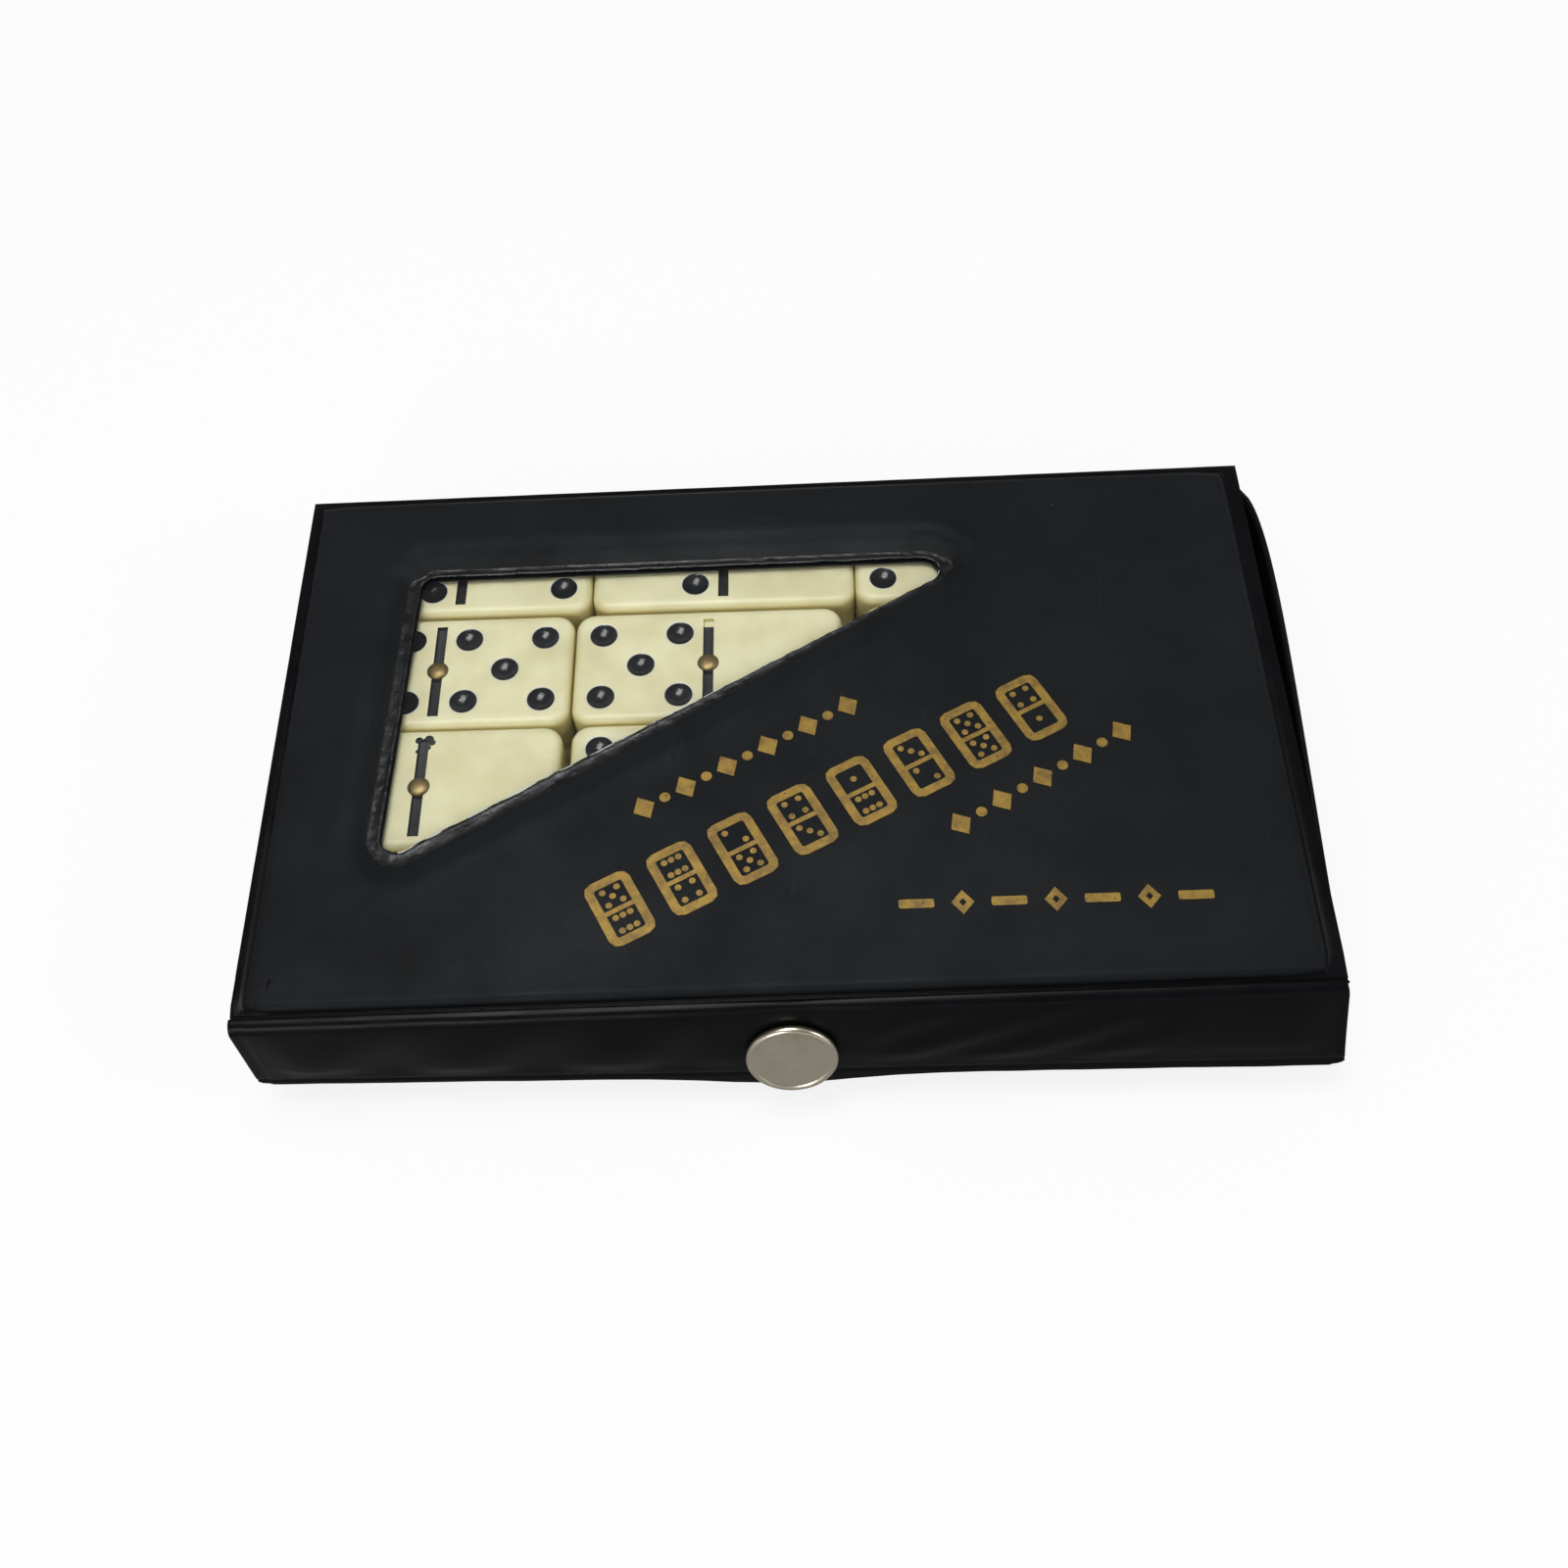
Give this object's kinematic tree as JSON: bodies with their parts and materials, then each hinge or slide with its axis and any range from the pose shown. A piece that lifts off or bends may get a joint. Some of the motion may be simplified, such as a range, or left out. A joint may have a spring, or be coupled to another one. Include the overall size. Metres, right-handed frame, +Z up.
{
  "type": "domino set in a vinyl case",
  "caption": "Cream dominoes with black pips and brass pins, packed in a black vinyl case with a three-cornered lid window and a press-stud flap.",
  "frame": {"origin": "on the plane the case stands on, under the middle of the lid's panel", "axes": "+X along the case to the right, -Y towards the front flap with the press stud, +Z up"},
  "size_m": [0.189, 0.121, 0.027],
  "materials": {
    "grained_vinyl": "black PVC sheet with a fine calendered grain, matt",
    "gloss_vinyl": "soft black PVC sheet, semi-gloss, slightly wavy",
    "lining_vinyl": "thin black PVC lining sheet",
    "greyboard": "recycled grey bookbinder's board",
    "clear_film": "clear PVC film",
    "cream_urea": "polished moulded urea, cream, with black enamelled pips and groove",
    "brass": "polished brass pin, lightly tarnished",
    "nickel": "nickel-plated pressed brass with fine specks",
    "gold_foil": "hot-stamped gold foil, matt and slightly worn"
  },
  "bodies": {
    "case": {"back_board": "greyboard", "back_lining": "lining_vinyl", "back_skin": "grained_vinyl", "bottom_board": "greyboard", "bottom_skin": "grained_vinyl", "floor_lining": "lining_vinyl", "side_wall": "gloss_vinyl", "snap_stud": "nickel", "spinner_0_0": "brass", "spinner_1_0": "brass", "spinner_2_0": "brass", "spinner_2_1": "brass", "spinner_3_2": "brass", "spinner_3_3": "brass", "spinner_4_1": "brass", "spinner_4_4": "brass", "spinner_4_6": "brass", "spinner_5_0": "brass", "spinner_5_3": "brass", "spinner_5_5": "brass", "spinner_6_2": "brass", "spinner_6_6": "brass", "stud_eyelet": "nickel", "tile_0_0": "cream_urea", "tile_1_0": "cream_urea", "tile_1_1": "cream_urea", "tile_2_0": "cream_urea", "tile_2_1": "cream_urea", "tile_2_2": "cream_urea", "tile_3_0": "cream_urea", "tile_3_1": "cream_urea", "tile_3_2": "cream_urea", "tile_3_3": "cream_urea", "tile_4_0": "cream_urea", "tile_4_1": "cream_urea", "tile_4_2": "cream_urea", "tile_4_3": "cream_urea", "tile_4_4": "cream_urea", "tile_4_6": "cream_urea", "tile_5_0": "cream_urea", "tile_5_1": "cream_urea", "tile_5_2": "cream_urea", "tile_5_3": "cream_urea", "tile_5_4": "cream_urea", "tile_5_5": "cream_urea", "tile_6_0": "cream_urea", "tile_6_1": "cream_urea", "tile_6_2": "cream_urea", "tile_6_3": "cream_urea", "tile_6_5": "cream_urea", "tile_6_6": "cream_urea"},
    "lid": {"lid_skin": "grained_vinyl", "lid_board": "greyboard", "window_film": "clear_film", "lid_lining": "lining_vinyl"},
    "flap": {"flap_skin": "gloss_vinyl", "flap_lining": "lining_vinyl", "snap_cap": "nickel", "snap_socket": "nickel"}
  },
  "joints": [
    {"name": "lid_hinge", "type": "hinge", "parent": "case", "child": "lid", "pos_m": [0, 0.057, 0.0252], "axis": [-1, 0, 0], "range_deg": [0, 180]},
    {"name": "flap_hinge", "type": "hinge", "parent": "lid", "child": "flap", "pos_m": [0, -0.0554, 0.0266], "axis": [-1, 0, 0], "range_deg": [0, 150]}
  ]
}
